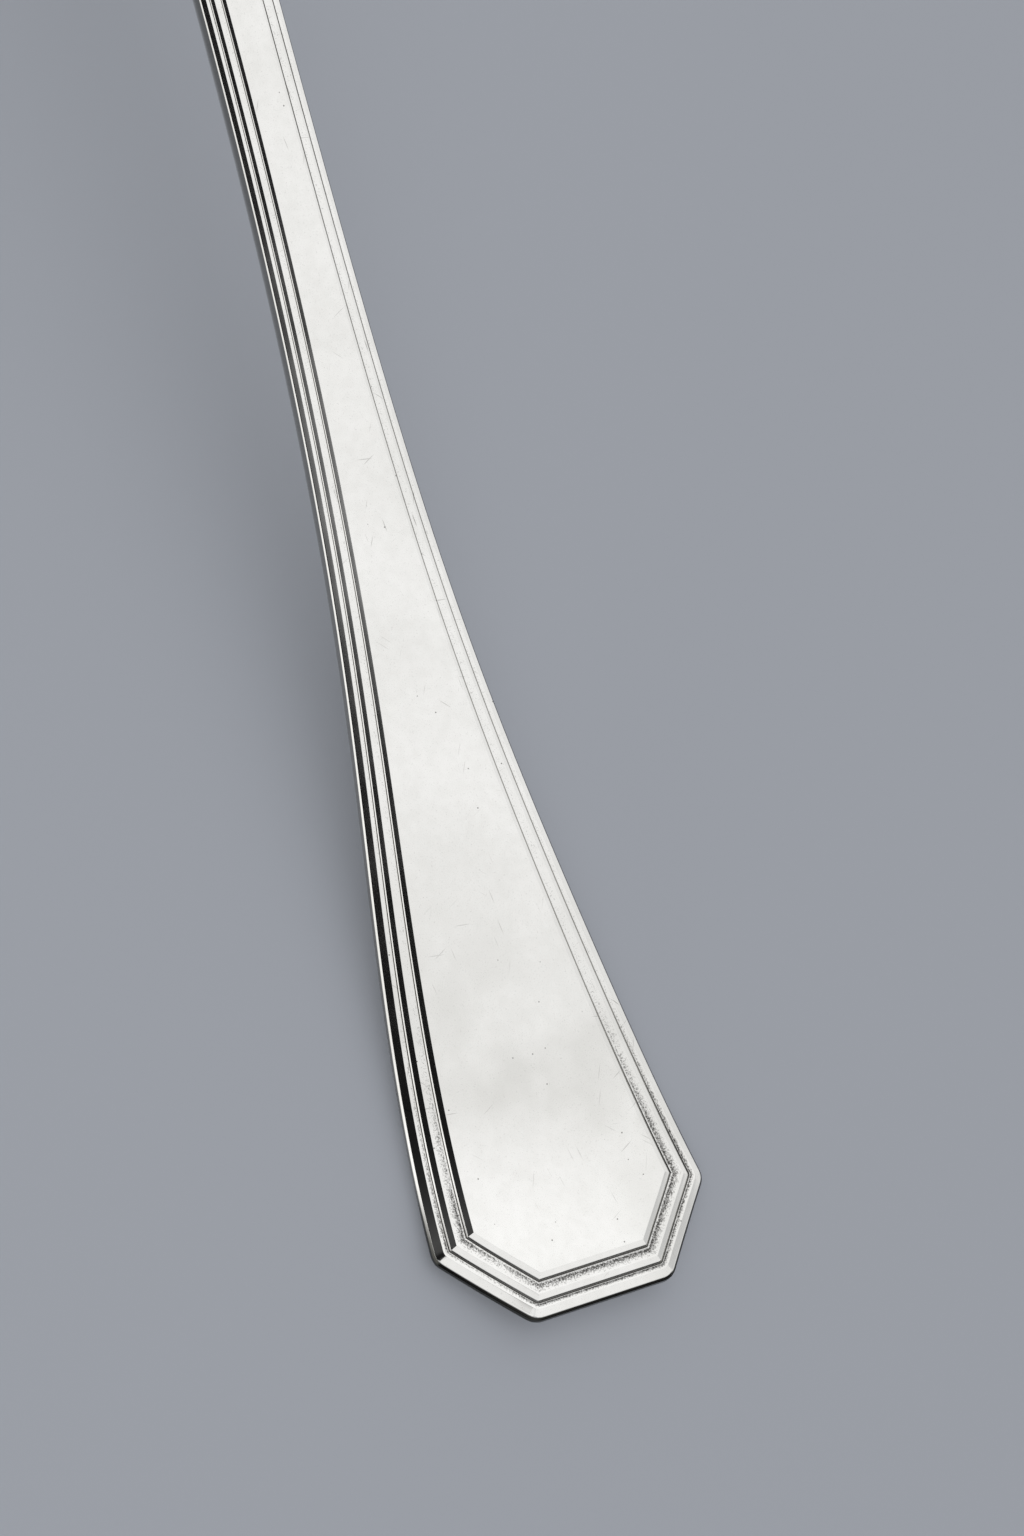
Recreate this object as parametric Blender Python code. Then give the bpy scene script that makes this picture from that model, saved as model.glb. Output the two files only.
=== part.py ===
"""Sauce spoon: a struck handle with a stepped border, hard-soldered to a pressed, flattened bowl.

Metres, +Z up. The spoon lies face up on a table at Z = 0, its handle end at +X and its bowl at -X.
"""

import bisect
import math

import bmesh
import bpy
from mathutils import Vector
from mathutils.geometry import interpolate_bezier

# Whole spoon
LENGTH = 0.182  # handle end to bowl tip

# Handle outline, drawn flat
END_WIDTH = 0.0212  # across the two corners, its widest place
END_FLAT = 0.0108  # straight edge between the two chamfers
CHAMFER_AT = 0.0061  # from the end to where a chamfer meets the side
NECK_WIDTH = 0.0058
NECK_TO_BOWL = 0.0243  # from the narrowest place to the bowl's back
FLARE = 0.115  # how fast a side closes in, just behind its corner
FLARE_PULL = 0.0338  # how far that straight run is felt
NECK_PULL = 0.0524
ROOT_WIDTH = 0.0122  # across the shoulders, within the bowl's rim
ROOT_PULL = 0.016
SHOULDER_PULL = 0.0065
SHOULDER_ANGLE = math.radians(27.0)  # how far a shoulder turns out
SHOULDER_ROOM = 0.0020  # kept free of other points beside a shoulder, so the border's mitres don't fold
HEEL_TIP = 0.0044  # across the heel's tip, under the bowl; the border has to fit in it

# Handle from the side: the line along the top of its side wall
TIP_ANGLE = math.radians(15.2)  # the end curls up
TIP_PULL = 0.0193
CREST_TO_BOWL = 0.0235
CREST_RISE = 0.0147  # above the tip
CREST_ANGLE = math.radians(9.4)
CREST_PULL = 0.0450
ARCH_PULL = 0.0140  # the bend down to the bowl
ROOT_BEND_PULL = 0.0100
ROOT_ABOVE_RIM = 0.0004  # where the neck comes to the bowl's back, to run out on the rim
HEEL = 0.0085  # how far the root runs on under the bowl, as its heel

# Handle thickness below that line
END_WALL = 0.00085
NECK_WALL = 0.0018
ROOT_WALL = 0.0005
UNDER_BEVEL = 0.0005  # taken off the lower edge, inwards
UNDER_BEVEL_RISE = 0.00040

# Stepped border at the handle's end, from outside in: a step's facet and face in plan, a tread and its rise
OUTER_STEP = (0.00017, 0.00055)
OUTER_TREAD = (0.00043, -0.00004)
MIDDLE_STEP = (0.00010, 0.00040)
MIDDLE_TREAD = (0.00087, -0.00006)
PANEL_STEP = (0.00010, 0.00040)
FACET_ANGLE = math.radians(52.0)  # the steep foot of a step
FACE_ANGLE = math.radians(32.0)
FACE_SHARE = 0.65  # of a face that is straight, below its worn crest
NECK_BORDER = 0.56  # the border's size at the neck, as a share of its size at the end
BORDER_END = 0.0028  # past the narrowest place, where the steps start to run out
BORDER_FADE = 0.0120  # over which they run out into the plain neck

# Bowl
BOWL_LENGTH = 0.0625
BOWL_WIDTH = 0.0410
WIDEST_AT = 0.0275  # from the bowl's back
RIM_HEIGHT = 0.0086  # at the bowl's widest place
RIM_SHEER = 0.0012  # how much higher the rim is at the tip
FLOOR = 0.0013
RIM_EDGE = 0.0009  # the thinned edge, measured level
FLAT_SHARE = 0.36  # the flattened floor, as a share of the outline
HOLLOW_SHARE = 1.05  # how far the hollow's wall is carried on past the rim to cut it clean
BACK_FULLNESS = 0.62
SIDE_FULLNESS = 0.58
TIP_FULLNESS = 0.36
NOTCH_RADIUS = 0.0022
NOTCH_AT = 0.0150  # from the widest place towards the tip

# Scarf joint
JOINT_PAST_NECK = 0.0173  # from the narrowest place
JOINT_ANGLE = math.radians(30.0)  # to the neck
SOLDER = 0.00025

# Places along the handle, from its end
BACK_AT = LENGTH - BOWL_LENGTH
NECK_AT = BACK_AT - NECK_TO_BOWL
CREST_AT = BACK_AT - CREST_TO_BOWL
JOINT_AT = NECK_AT + JOINT_PAST_NECK

# Places along X
BOWL_BACK = LENGTH / 2 - BACK_AT
BOWL_MIDDLE = BOWL_BACK - WIDEST_AT

# How finely curves are divided
CHAMFER_STEPS = 4
SIDE_STEPS = 40
ROOT_STEPS = 24
HEEL_STEPS = 8
LINE_STEPS = 160
QUARTER_STEPS = 24
RING_STEPS = 14
CREST_STEPS = 2
TREAD_STEPS = 2
NOTCH_SIDES = 32


def bezier(start, pull, push, end, count):
    """count points along a curve in a plane."""
    return interpolate_bezier(Vector(start), Vector(pull), Vector(push), Vector(end), count)


def eased(low, high, value):
    """0 up to low, 1 from high on, and smooth between."""
    share = min(max((value - low) / (high - low), 0.0), 1.0)
    return share * share * (3.0 - 2.0 * share)


def between(pairs, where):
    """The second value of rising pairs, read at a first value."""
    place = bisect.bisect([pair[0] for pair in pairs], where)
    if place == 0:
        return pairs[0][1]
    if place == len(pairs):
        return pairs[-1][1]
    low, high = pairs[place - 1], pairs[place]
    share = (where - low[0]) / (high[0] - low[0])
    return low[1] + (high[1] - low[1]) * share


class Line:
    """A curve in the spoon's middle plane, read by the distance along it from the handle's end."""

    def __init__(self, points):
        self.points = points
        self.runs = [0.0]
        for before, after in zip(points, points[1:]):
            self.runs.append(self.runs[-1] + (after - before).length)
        self.length = self.runs[-1]
        ends = [points[0]] + points + [points[-1]]
        self.ways = [(after - before).normalized() for before, after in zip(ends, ends[2:])]

    def at(self, run):
        """The point there, and the way towards the bowl."""
        place = min(max(bisect.bisect(self.runs, run), 1), len(self.runs) - 1)
        low, high = self.runs[place - 1], self.runs[place]
        share = (run - low) / (high - low)
        point = self.points[place - 1].lerp(self.points[place], share)
        way = self.ways[place - 1].lerp(self.ways[place], share).normalized()
        return point, way

    def run_to(self, x):
        """The distance along it to where it has come that far from the end."""
        return between([(point.x, run) for point, run in zip(self.points, self.runs)], x)

    def above(self, run, height):
        """A point that far from the line, square to it."""
        point, way = self.at(run)
        return point + Vector((-way.y, way.x)) * height


def bowl_rise(share):
    """Height of the bowl's wall, 0 at its flat floor and 1 at its rim, by the share of its outline."""
    return (max(share - FLAT_SHARE, 0.0) / (1.0 - FLAT_SHARE)) ** 2


def rim_at(x):
    """Height of the rim: lowest at the widest place, and sweeping up to the tip and to the neck."""
    away = (x - BOWL_MIDDLE) / (BOWL_LENGTH - WIDEST_AT)
    return RIM_HEIGHT + RIM_SHEER * away * away


def wall_below(run, length):
    """Thickness of the handle under its side line."""
    blank = END_WALL + (NECK_WALL - END_WALL) * eased(0.0, NECK_AT, run)
    return blank + (ROOT_WALL - blank) * eased(JOINT_AT, length, run)


def side_line():
    """The handle from the side, as distances from the end and heights, down into the bowl's back wall."""
    tip = Vector((0.0, 0.0))
    crest = Vector((CREST_AT, CREST_RISE))
    tip_pull = tip + Vector((TIP_PULL, -TIP_PULL * math.tan(TIP_ANGLE)))
    crest_push = crest - Vector((CREST_PULL, CREST_PULL * math.tan(CREST_ANGLE)))
    handle = bezier(tip, tip_pull, crest_push, crest, LINE_STEPS)
    flat = Line(handle)
    lowest = min(flat.above(run, -wall_below(run, LENGTH)).y for run in flat.runs)
    overhang = (END_WALL - UNDER_BEVEL_RISE) * math.sin(TIP_ANGLE)
    handle = [point + Vector((overhang, -lowest)) for point in handle]

    crest = handle[-1]
    back = Vector((BACK_AT, rim_at(BOWL_BACK) + ROOT_ABOVE_RIM))
    inside = 1.0 - HEEL / WIDEST_AT
    middle = FLOOR / 2 + (RIM_HEIGHT - FLOOR / 2) * bowl_rise(inside)
    heel = Vector((BACK_AT + HEEL, middle + ROOT_WALL / 2))
    arch_pull = crest + Vector((ARCH_PULL, ARCH_PULL * math.tan(CREST_ANGLE)))
    back_push = back - ROOT_BEND_PULL * (heel - back).normalized()
    arch = bezier(crest, arch_pull, back_push, back, LINE_STEPS)
    return Line(handle + arch[1:] + [heel])


def handle_outline(line):
    """Half widths of the flat handle by distance from its end: a chamfer, the side, a shoulder, the heel."""
    half = END_WIDTH / 2
    narrow = NECK_WIDTH / 2
    wide = ROOT_WIDTH / 2
    corner = Vector((CHAMFER_AT, half))
    flat = Vector((0.0, END_FLAT / 2))
    chamfer = [flat.lerp(corner, i / CHAMFER_STEPS) for i in range(CHAMFER_STEPS)]
    flare = corner + Vector((FLARE_PULL, -FLARE_PULL * FLARE))
    side = bezier(corner, flare, (NECK_AT - NECK_PULL, narrow), (NECK_AT, narrow), SIDE_STEPS)
    rear = bowl_outline(0.0)[:QUARTER_STEPS]
    drawn_back = between([(point.y, BOWL_BACK - point.x) for point in rear], wide)
    shoulder = Vector((line.run_to(BACK_AT + drawn_back + RIM_EDGE), wide))
    push = shoulder - SHOULDER_PULL * Vector((math.cos(SHOULDER_ANGLE), math.sin(SHOULDER_ANGLE)))
    root = bezier((NECK_AT, narrow), (NECK_AT + ROOT_PULL, narrow), push, shoulder, ROOT_STEPS)
    heel = []
    full = math.acos(HEEL_TIP / ROOT_WIDTH)
    for i in range(1, HEEL_STEPS + 1):
        turn = full * i / HEEL_STEPS
        run = shoulder.x + (line.length - shoulder.x) * math.sin(turn) / math.sin(full)
        heel.append(Vector((run, wide * math.cos(turn))))
    before = [point for point in root[1:] if shoulder.x - point.x > SHOULDER_ROOM]
    after = [point for point in heel if point.x - shoulder.x > SHOULDER_ROOM]
    return chamfer + side + before + [shoulder] + after


def border_sizes(outline):
    """Size of the border by distance from the end: it follows the handle's width down to the neck."""
    sizes = [(0.0, 1.0)]
    for run, half in outline:
        if CHAMFER_AT < run <= NECK_AT:
            share = (half - NECK_WIDTH / 2) / (END_WIDTH / 2 - NECK_WIDTH / 2)
            sizes.append((run, NECK_BORDER + (1.0 - NECK_BORDER) * share))
    return sizes


def struck(step):
    """A step as moves in and up: a steep facet, a straight face and a worn crest."""
    facet, face = step
    straight = face * FACE_SHARE
    radius = (face - straight) / math.sin(FACE_ANGLE)
    moves = [(facet, facet * math.tan(FACET_ANGLE)), (straight, straight * math.tan(FACE_ANGLE))]
    turns = [FACE_ANGLE * (1.0 - i / CREST_STEPS) for i in range(CREST_STEPS + 1)]
    for a, b in zip(turns, turns[1:]):
        moves.append((radius * (math.sin(a) - math.sin(b)), radius * (math.cos(b) - math.cos(a))))
    return moves


def coved(tread):
    """A tread as moves in and up: a shallow hollow that falls towards the next step."""
    shares = [i / TREAD_STEPS for i in range(TREAD_STEPS + 1)]
    places = [(tread[0] * share, tread[1] * share**2) for share in shares]
    return [(b[0] - a[0], b[1] - a[1]) for a, b in zip(places, places[1:])]


def blank(shape, outline, depth):
    """A flat plate of that outline in shape, rung by rung. Returns its upper and its lower faces."""
    rows = []
    for height in (0.0, -depth):
        for side in (-1.0, 1.0):
            rows.append([shape.verts.new((run, half * side, height)) for run, half in outline])
    upper_left, upper_right, lower_left, lower_right = rows
    upper, lower = [], []
    for i in range(len(outline) - 1):
        upper.append(shape.faces.new((upper_left[i], upper_left[i + 1], upper_right[i + 1], upper_right[i])))
        lower.append(shape.faces.new((lower_left[i], lower_right[i], lower_right[i + 1], lower_left[i + 1])))
        shape.faces.new((upper_left[i], lower_left[i], lower_left[i + 1], upper_left[i + 1]))
        shape.faces.new((upper_right[i], upper_right[i + 1], lower_right[i + 1], lower_right[i]))
    shape.faces.new((upper_left[0], upper_right[0], lower_right[0], lower_left[0]))
    shape.faces.new((upper_left[-1], lower_left[-1], lower_right[-1], upper_right[-1]))
    return upper, lower


def inset(shape, faces, inwards, upwards):
    """Draws the outline of these faces in by one even step, and up."""
    bmesh.ops.inset_region(
        shape, faces=faces, thickness=inwards, depth=upwards, use_even_offset=True, use_boundary=True
    )


def stem_mesh(line):
    """The whole handle with its root: a flat blank, struck with the border, then bent along the side line."""
    outline = handle_outline(line)
    sizes = border_sizes(outline)
    shape = bmesh.new()
    # The border is struck at one size all round; each place is then scaled back, so it follows the width.
    even = [(run, half / between(sizes, run)) for run, half in outline]
    upper, lower = blank(shape, even, END_WALL - UNDER_BEVEL_RISE)
    outer = struck(OUTER_STEP)
    border = outer + coved(OUTER_TREAD) + struck(MIDDLE_STEP) + coved(MIDDLE_TREAD) + struck(PANEL_STEP)
    for inwards, upwards in border:
        inset(shape, upper, inwards, upwards)
    inset(shape, lower, UNDER_BEVEL, UNDER_BEVEL_RISE)
    border_end = NECK_AT + BORDER_END
    outer_rise = sum(upwards for inwards, upwards in outer)
    for vert in shape.verts:
        run, side, height = vert.co
        size = between(sizes, run)
        if height > 0.0:
            plain = min(height, outer_rise)
            height = plain + (height - plain) * (1.0 - eased(border_end, border_end + BORDER_FADE, run))
            height *= size * (1.0 - eased(JOINT_AT, line.length, run))
        else:
            height *= wall_below(run, line.length) / END_WALL
        place = line.above(run, height)
        vert.co = (LENGTH / 2 - place.x, -side * size, place.y)
    mesh = bpy.data.meshes.new("stem")
    shape.to_mesh(mesh)
    shape.free()
    return mesh


def bowl_outline(inset):
    """Egg outline of the bowl, all round, brought in by inset."""
    back = Vector((BOWL_BACK - inset, 0.0))
    tip = Vector((inset - LENGTH / 2, 0.0))
    half = BOWL_WIDTH / 2 - inset
    widest = Vector((BOWL_MIDDLE, half))
    back_pull = Vector((back.x, half * BACK_FULLNESS))
    wide_push = Vector((BOWL_MIDDLE + (back.x - BOWL_MIDDLE) * BACK_FULLNESS, half))
    wide_pull = Vector((BOWL_MIDDLE + (tip.x - BOWL_MIDDLE) * SIDE_FULLNESS, half))
    tip_push = Vector((tip.x, half * TIP_FULLNESS))
    rear = bezier(back, back_pull, wide_push, widest, QUARTER_STEPS)
    front = bezier(widest, wide_pull, tip_push, tip, QUARTER_STEPS)
    left = rear + front[1:]
    return left + [Vector((point.x, -point.y)) for point in reversed(left[1:-1])]


def ring_at(outline, share):
    """The outline drawn in towards the middle of the bowl."""
    return [Vector((BOWL_MIDDLE, 0.0)).lerp(point, share) for point in outline]


def dish_mesh(name, outline, floor, highest):
    """A solid with a flat floor and a wall that rises to a share of the outline, closed on top.

    A wall that rises past the rim is carried on straight up, well clear of the spoon.
    """
    shape = bmesh.new()
    tops = [rim_at(point.x) for point in outline]
    rings = []
    for i in range(RING_STEPS + 1):
        share = FLAT_SHARE + (highest - FLAT_SHARE) * i / RING_STEPS
        rise = bowl_rise(share)
        ring = zip(ring_at(outline, share), tops)
        rings.append([Vector((p.x, p.y, floor + (top - floor) * rise)) for p, top in ring])
    ceiling = RIM_HEIGHT
    if highest > 1.0:
        ceiling = RIM_HEIGHT * 2
        rings.append([Vector((p.x, p.y, ceiling)) for p in ring_at(outline, highest)])
    rings.append([Vector((p.x, p.y, ceiling)) for p in ring_at(outline, FLAT_SHARE)])
    rows = [[shape.verts.new(point) for point in ring] for ring in rings]
    count = len(outline)
    for inner, outer in zip(rows, rows[1:]):
        for i in range(count):
            j = (i + 1) % count
            shape.faces.new((inner[i], inner[j], outer[j], outer[i]))
    shape.faces.new(list(reversed(rows[0])))
    shape.faces.new(rows[-1])
    mesh = bpy.data.meshes.new(name)
    shape.to_mesh(mesh)
    shape.free()
    return mesh


def block_mesh(name, centre, up, sizes):
    """A box with its third side along up."""
    shape = bmesh.new()
    bmesh.ops.create_cube(shape, size=1.0)
    turn = up.to_track_quat("Z", "Y").to_matrix()
    for vert in shape.verts:
        vert.co = centre + turn @ (vert.co * Vector(sizes))
    mesh = bpy.data.meshes.new(name)
    shape.to_mesh(mesh)
    shape.free()
    return mesh


def notch_mesh():
    """An upright rod that takes a half-round bite out of the bowl's left edge."""
    edge = min(bowl_outline(0.0), key=lambda point: abs(point.x - (BOWL_MIDDLE - NOTCH_AT)))
    shape = bmesh.new()
    bmesh.ops.create_cone(
        shape,
        cap_ends=True,
        segments=NOTCH_SIDES,
        radius1=NOTCH_RADIUS,
        radius2=NOTCH_RADIUS,
        depth=RIM_HEIGHT * 2,
    )
    bmesh.ops.translate(shape, verts=shape.verts, vec=(edge.x, -abs(edge.y), RIM_HEIGHT))
    mesh = bpy.data.meshes.new("notch")
    shape.to_mesh(mesh)
    shape.free()
    return mesh


def metal(name, colour, roughness):
    material = bpy.data.materials.new(name)
    material.use_nodes = True
    shader = material.node_tree.nodes["Principled BSDF"]
    shader.inputs["Base Color"].default_value = (*colour, 1.0)
    shader.inputs["Metallic"].default_value = 1.0
    shader.inputs["Roughness"].default_value = roughness
    return material


def add(collection, name, mesh, material=None):
    made = bpy.data.objects.new(name, mesh)
    collection.objects.link(made)
    if material:
        mesh.materials.append(material)
    return made


def helper(collection, name, mesh):
    made = add(collection, name, mesh)
    made.hide_render = True
    made.display_type = "WIRE"
    return made


def block_helper(name, centre, up, sizes):
    return helper(helpers, name, block_mesh(name, centre, up, sizes))


def combine(made, operation, other):
    modifier = made.modifiers.new(f"{operation.lower()}_{other.name}", "BOOLEAN")
    modifier.operation = operation
    modifier.solver = "EXACT"
    modifier.use_self = True
    modifier.object = other


for leftover in list(bpy.data.objects):
    bpy.data.objects.remove(leftover)

parts = bpy.data.collections.new("sauce_spoon")
helpers = bpy.data.collections.new("cutters")
for group in (parts, helpers):
    bpy.context.scene.collection.children.link(group)
helpers.hide_render = True

silver = metal("silver_plate", (0.87, 0.86, 0.83), 0.16)
pressed_silver = metal("pressed_silver_plate", (0.87, 0.86, 0.83), 0.12)
hard_solder = metal("silver_solder", (0.80, 0.78, 0.70), 0.30)

line = side_line()
stem = stem_mesh(line)

joint, towards_bowl = line.at(JOINT_AT)
joint = Vector((LENGTH / 2 - joint.x, 0.0, joint.y))
neck_way = Vector((-towards_bowl.x, 0.0, towards_bowl.y))
neck_up = Vector((towards_bowl.y, 0.0, towards_bowl.x))
scarf_way = neck_way * math.sin(JOINT_ANGLE) + neck_up * math.cos(JOINT_ANGLE)
half_space = (LENGTH * 2, LENGTH * 2, LENGTH * 2)
layer = (END_WIDTH, END_WIDTH, SOLDER)
bowl_side = block_helper("bowl_side", joint + scarf_way * LENGTH, scarf_way, half_space)
handle_side = block_helper("handle_side", joint + scarf_way * (SOLDER - LENGTH), scarf_way, half_space)
seam_layer = block_helper("seam_layer", joint + scarf_way * SOLDER / 2, scarf_way, layer)

handle = add(parts, "handle", stem, silver)
combine(handle, "DIFFERENCE", bowl_side)

solder_seam = add(parts, "solder_seam", stem_mesh(line), hard_solder)
combine(solder_seam, "INTERSECT", seam_layer)

neck_root = helper(helpers, "neck_root", stem_mesh(line))
combine(neck_root, "DIFFERENCE", handle_side)

hollow = helper(helpers, "hollow", dish_mesh("hollow", bowl_outline(RIM_EDGE), FLOOR, HOLLOW_SHARE))
notch = helper(helpers, "notch", notch_mesh())
bowl = add(parts, "bowl", dish_mesh("bowl", bowl_outline(0.0), 0.0, 1.0), pressed_silver)
combine(bowl, "UNION", neck_root)
combine(bowl, "DIFFERENCE", hollow)
combine(bowl, "DIFFERENCE", notch)
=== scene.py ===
"""Looks of a silver-plated sauce spoon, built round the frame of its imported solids.

The spoon is made here as a silversmith makes it: the handle is struck flat with its stepped border and bent
along its side line, the bowl is pressed from a flat blank, and the two meet in a scarf joint. Metres, +Z up.
"""

import math

import bmesh
import bpy
import numpy as np
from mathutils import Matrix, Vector
from mathutils.geometry import interpolate_bezier


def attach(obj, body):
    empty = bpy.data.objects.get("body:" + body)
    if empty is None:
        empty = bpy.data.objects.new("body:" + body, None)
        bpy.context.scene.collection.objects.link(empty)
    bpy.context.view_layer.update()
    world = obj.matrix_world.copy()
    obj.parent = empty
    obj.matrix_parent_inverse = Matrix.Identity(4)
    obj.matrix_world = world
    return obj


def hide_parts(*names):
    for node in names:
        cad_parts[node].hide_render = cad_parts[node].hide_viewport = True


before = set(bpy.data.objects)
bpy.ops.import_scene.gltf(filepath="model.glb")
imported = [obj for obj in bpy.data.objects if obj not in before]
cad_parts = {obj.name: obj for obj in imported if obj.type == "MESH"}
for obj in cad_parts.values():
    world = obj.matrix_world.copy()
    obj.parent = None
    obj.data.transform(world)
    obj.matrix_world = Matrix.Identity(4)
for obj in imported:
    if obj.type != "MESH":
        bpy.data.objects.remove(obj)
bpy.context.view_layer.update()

MM = 0.001

# Whole spoon
LENGTH = 0.182
BOWL_LENGTH = 0.0625
BOWL_WIDTH = 0.0410
BACK_AT = LENGTH - BOWL_LENGTH  # the bowl's back, from the handle's end

# Handle outline, drawn flat, from the end to the heel under the bowl
END_WIDTH = 0.0212
END_FLAT = 0.0108
CHAMFER_AT = 0.0061
NECK_WIDTH = 0.0058
NECK_TO_BOWL = 0.0243
NECK_AT = BACK_AT - NECK_TO_BOWL
FLARE = 0.115
FLARE_PULL = 0.0338
NECK_PULL = 0.0524
ROOT_WIDTH = 0.0122
ROOT_PULL = 0.016
SHOULDER_PULL = 0.0065
SHOULDER_ANGLE = math.radians(27.0)
HEEL_TIP = 0.0044
CORNER_ROUND = 0.0015  # radius of the outline's worn corners; the steps inside them turn tighter
CORNER_LEAST = 0.00004

# Side line of the handle
STRETCHES = ("Handle", "Arch", "Heel")
CURVE_POINTS = ("start", "pull", "push", "end")
TIP_ANGLE = math.radians(15.2)
TIP_PULL = 0.0193
CREST_TO_BOWL = 0.0235
CREST_AT = BACK_AT - CREST_TO_BOWL
CREST_RISE = 0.0147
CREST_ANGLE = math.radians(9.4)
CREST_PULL = 0.0450
ARCH_PULL = 0.0140
ROOT_BEND_PULL = 0.0100
ROOT_ABOVE_RIM = 0.0004
HEEL = 0.0085

# Handle thickness below its side line
END_WALL = 0.00085
NECK_WALL = 0.0018
ROOT_WALL = 0.0005
UNDER_BEVEL = 0.0005
UNDER_BEVEL_RISE = 0.00040
UNDER_WORN = 0.4  # of each stretch that meets a corner of the lower bevel, worn round

# Stepped border at the end, from the outside in: a step's facet and face, level, a tread's width and fall
OUTER_STEP = (0.00017, 0.00055)
OUTER_TREAD = (0.00043, -0.00004)
MIDDLE_STEP = (0.00010, 0.00040)
MIDDLE_TREAD = (0.00087, -0.00006)
PANEL_STEP = (0.00010, 0.00040)
PANEL_RINGS = (0.00015, 0.00030, 0.00060)  # on the flat panel, in from its edge, to hold its shading flat
FACET_ANGLE = math.radians(52.0)
FACE_ANGLE = math.radians(28.7)
FACE_SHARE = 0.85  # of a face that stays straight, below its worn crest
FACET_PLACES = (0.25, 0.67, 1.0)
FACE_PLACES = (0.1, 0.5, 1.0)
CREASE = (0.00008, 0.00003)  # width and depth of the struck line at a step's foot
NECK_BORDER = 0.56
BORDER_END = 0.0013  # sooner than in the solid, whose border stands lower, to stay inside its box
BORDER_FADE = 0.0120

# Wear of the handle, with painted shade in its creases and painted dark reflection on its wall and outer
# facet, as shares of what could be there
WEAR_AND_SHADE_LAYERS = ("grime", "line", "painted_dark_reflection")
SIDE_WORN_AT = CHAMFER_AT * 2  # from here on a side is worn as it is all along
SIDE_WIPED_AT = CHAMFER_AT * 4
GRIME_AT_END = 1.2
GRIME_ON_SIDES = 0.2
GRIME_DEEPEST = 0.80  # across a tread
LIP_FROM = 0.95  # across a tread, where its clean lip has begun
LIP_CLEAN = 0.7
# Black of the crease lines, partly grime and partly painted shade where the crease and the facet's foot are
# shaded
CREASE_BLACK = (1.0, 0.8)  # in the crease and at its inner edge
FOOT_BLACK = 0.45  # on a facet's foot
SIDE_RUBBED = 0.45  # taken off the black lines along the sides
NECK_SPARED = 0.4  # of that, towards the neck
# Painted dark reflection: the side wall's colour is darkened, most under the end, and so is the outer facet's
# but for the left side
WALL_DARK_REFLECTION_AT_END = 1.6
WALL_DARK_REFLECTION_ON_SIDES = 0.5
WALL_DARK_REFLECTION_TO_NECK = 0.25
FACET_DARK_REFLECTION = 0.9
FACET_LEVELS = 2  # of the border, counted from the wall, that the outer facet's painted dark reflection covers
LEFT_BLEND = 0.002  # across the middle, over which the left side, whose outer facet gets no painted dark reflection, takes over

# Bowl
WIDEST_AT = 0.0275
RIM_HEIGHT = 0.0086
RIM_SHEER = 0.0012
FLOOR = 0.0013
RIM_EDGE = 0.0009
RIM_ROUND = 0.00022
RIM_CORNER = math.radians(35.0)  # edges sharper than this are rounded
FLAT_SHARE = 0.36
HOLLOW_SHARE = 1.3  # how far the hollow's wall is carried on past the rim, to cut the root clean
BACK_FULLNESS = 0.62
SIDE_FULLNESS = 0.58
TIP_FULLNESS = 0.36
NOTCH_RADIUS = 0.0022
NOTCH_AT = 0.0150
BOWL_BACK = LENGTH / 2 - BACK_AT
BOWL_MIDDLE = BOWL_BACK - WIDEST_AT

# Scarf joint
JOINT_PAST_NECK = 0.0173
JOINT_AT = NECK_AT + JOINT_PAST_NECK
JOINT_ANGLE = math.radians(30.0)
SOLDER = 0.00025

# How finely curves are divided
CHAMFER_STEPS = 7
CORNER_STEPS = 6
SIDE_STEPS = 90
UNDER_STEPS = 5
ROOT_STEPS = 60
HEEL_STEPS = 24
LINE_STEPS = 240
QUARTER_STEPS = 64
RING_STEPS = 44
CREST_STEPS = 6
TREAD_STEPS = 12
RIM_STEPS = 4
NOTCH_SIDES = 96
SHARP_FROM = math.radians(32.0)  # edges sharper than this aren't shaded smooth

# Clouds in the silver: their size, where their noise starts to show and where it is full, and its detail
HAZE_CLOUDS = (5.0 * MM, 0.20, 0.60, 4.0)
POLISH_CLOUDS = (7.0 * MM, 0.30, 0.70, 5.0)
MOTTLES = (0.8 * MM, 0.35, 0.65, 2.0)
WIPED_PATCHES = (11.0 * MM, 0.42, 0.62, 2.0)
GRIME_FILM = (6.0 * MM, 0.22, 0.46, 2.0)
GRIME_GRAINS = (0.11 * MM, 0.32, 0.74, 2.0)  # the specks that show in the treads
DULL_PATCHES = (3.0 * MM, 0.30, 0.70, 2.0)
POLISH_WAVES = (8.0 * MM, 0.00, 1.00, 1.0)
WAVE_DEPTH = 0.02 * MM

# How strong each mark is on the silver
POLISH_SHARE = 0.35
MOTTLE_SHARE = 0.2
HAIRLINE_SHARE = 0.7
PIT_SHARE = 0.8
GRIME_CAUGHT = (-0.1, 0.8)  # film less grains, where grime starts to show and where it is full
GRIME_SHARE = 0.9
GRIME_DULL = 0.4  # roughness that grime adds
DULL_MOST = 1.5  # times the roughness, in the dullest patches

# Hairlines and pits: the cell that holds one, how much of it the mark takes, and the ways the hairlines run
HAIRLINE_CELL = (8.0 * MM, 0.5 * MM, 2.0 * MM)
HAIRLINE_SPREAD = 0.09
HAIRLINE_TURNS = (8.0, 47.0, 83.0, 118.0, 155.0)
PIT_CELL = (1.4 * MM, 1.4 * MM, 1.4 * MM)
PIT_SPREAD = 0.05

# Haze of handling, which also paints a dimmer reflection behind the end: along the handle, where it starts
# and is full, and where it has ended and is still full
HAZE_FROM = (0.052, 0.078)
HAZE_TO = (0.082, 0.076)
HAZE_SLANT = 0.45  # metres along for each metre across
HAZE_RIGHT = (0.0015, 0.0060)  # across, where the thumb's part of it starts and is full
THUMB_SHARE = 0.7

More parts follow.
